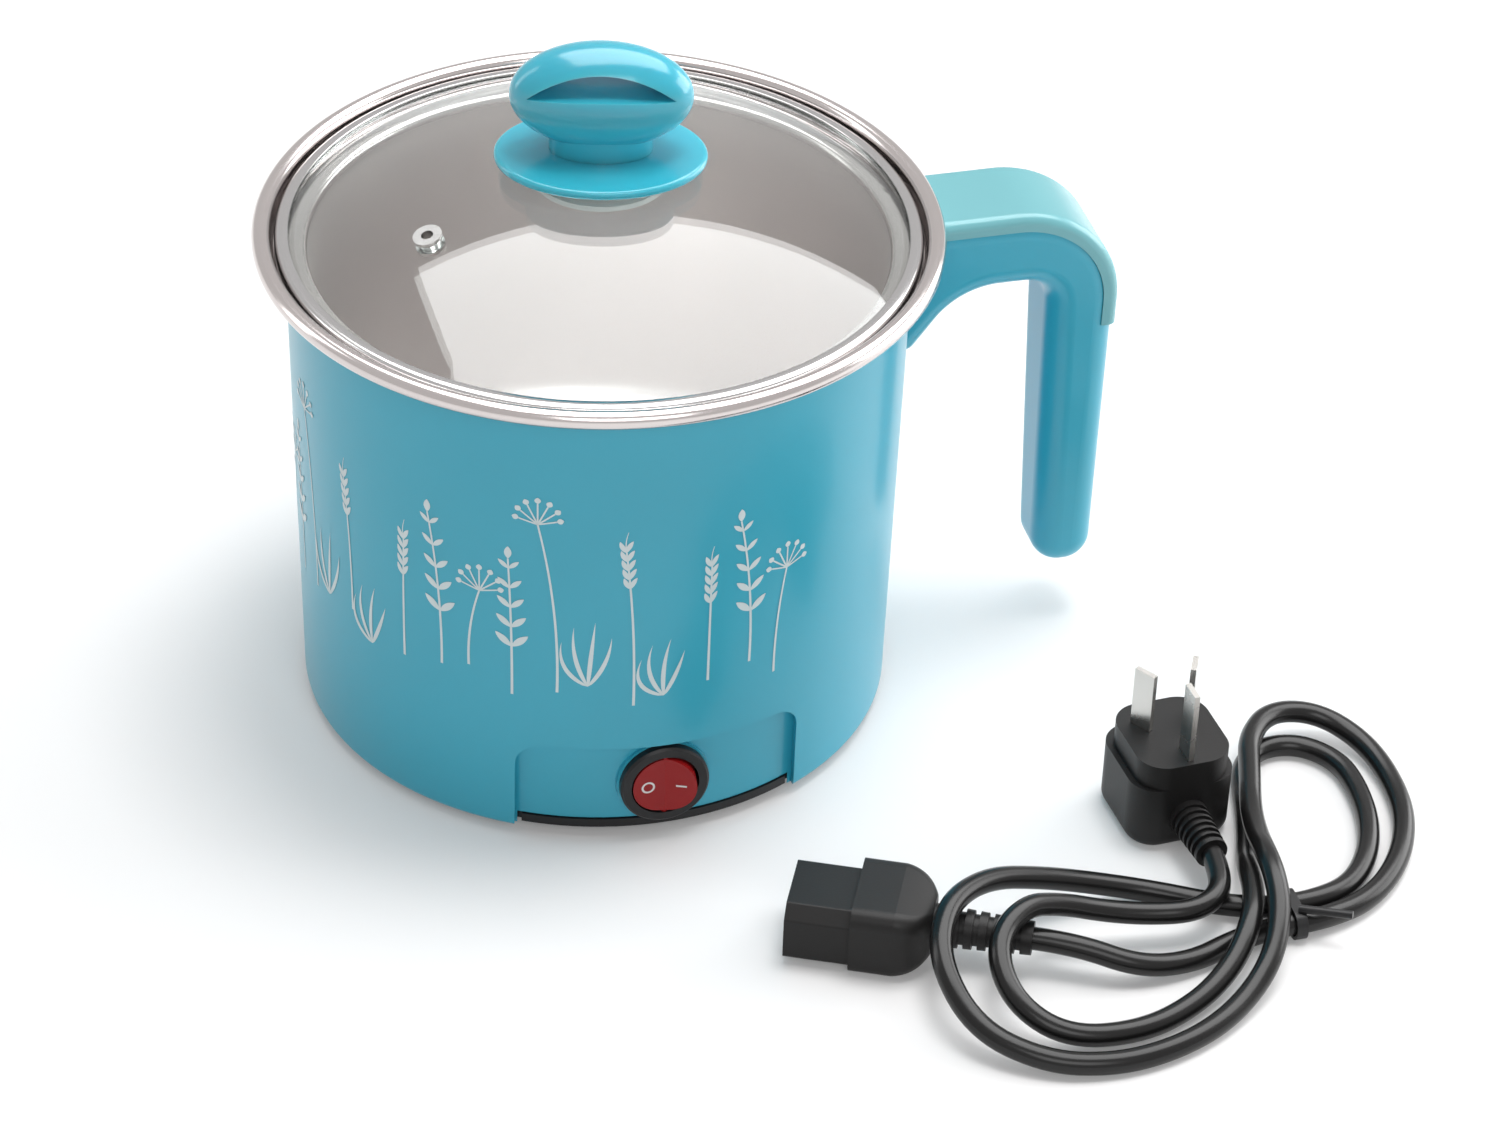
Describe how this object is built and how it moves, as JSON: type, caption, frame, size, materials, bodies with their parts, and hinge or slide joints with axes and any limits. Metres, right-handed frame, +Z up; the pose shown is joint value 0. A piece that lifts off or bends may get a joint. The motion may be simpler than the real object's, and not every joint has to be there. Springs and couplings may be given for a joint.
{
  "type": "electric multicooker",
  "caption": "Round electric cooking pot with a loose domed glass lid, open side handle, rocker switch and a detachable mains lead.",
  "frame": {"origin": "on the table, on the axis of the pot", "axes": "+Z up along the pot axis, +X towards the handle, -Y towards the switch, +Y towards the power inlet"},
  "size_m": [0.2885, 0.2865, 0.1948],
  "materials": {
    "cyan_plastic": "glossy moulded cyan",
    "pale_cyan_plastic": "glossy moulded pale cyan",
    "polished_steel": "polished pressed steel",
    "clear_glass": "clear tempered glass",
    "black_plastic": "satin black",
    "black_rubber": "matt black",
    "black_cord": "satin black vinyl",
    "tie_black": "satin black",
    "red_plastic": "glossy red",
    "plated_steel": "bright plated",
    "bright_pins": "nickel plated",
    "brass_contacts": "plain brass",
    "cast_aluminium": "as cast",
    "element_steel": "dull steel",
    "white_silicone": "milky silicone",
    "brown_lead": "matt insulation",
    "blue_lead": "matt insulation",
    "white_lead": "matt insulation",
    "green_lead": "matt insulation"
  },
  "bodies": {
    "cooker": {"inner_pot": "polished_steel", "outer_shell": "cyan_plastic", "base_cover": "black_plastic", "rubber_foot_1": "black_rubber", "rubber_foot_2": "black_rubber", "rubber_foot_3": "black_rubber", "rubber_foot_4": "black_rubber", "base_screws": "plated_steel", "heating_plate": "cast_aluminium", "heating_element": "element_steel", "thermostat": "element_steel", "thermal_fuse": "cast_aluminium", "switch_housing": "black_plastic", "switch_tabs": "bright_pins", "power_inlet": "black_plastic", "inlet_pins": "bright_pins", "inlet_screws": "plated_steel", "handle_body": "cyan_plastic", "handle_cap": "pale_cyan_plastic", "handle_screws": "plated_steel", "live_lead": "brown_lead", "neutral_lead": "blue_lead", "switched_lead": "brown_lead", "fuse_lead": "white_lead", "element_lead": "white_lead", "earth_lead": "green_lead"},
    "lid": {"lid_glass": "clear_glass", "lid_band": "polished_steel", "vent_eyelet": "plated_steel", "knob_gasket": "white_silicone", "knob_skirt": "cyan_plastic", "knob_grip": "cyan_plastic", "lid_washer": "white_silicone", "plate_washer": "plated_steel", "knob_screw": "plated_steel"},
    "rocker": {"switch_rocker": "red_plastic"},
    "power_cord": {"connector_body": "black_cord", "connector_contacts": "brass_contacts", "cord": "black_cord", "twist_tie": "tie_black", "plug_body": "black_cord", "plug_blades": "bright_pins"}
  },
  "joints": [
    {"name": "lid_lift", "type": "slide", "parent": "cooker", "child": "lid", "axis": [0, 0, 1], "range_m": [0, 0.2]},
    {"name": "rocker_tilt", "type": "hinge", "parent": "cooker", "child": "rocker", "pos_m": [0, -0.0792, 0.0182], "axis": [0, 0, 1], "range_deg": [0, 18]},
    {"name": "cord_lift", "type": "slide", "parent": "cooker", "child": "power_cord", "axis": [0, 0, 1], "range_m": [0, 0.1]}
  ]
}
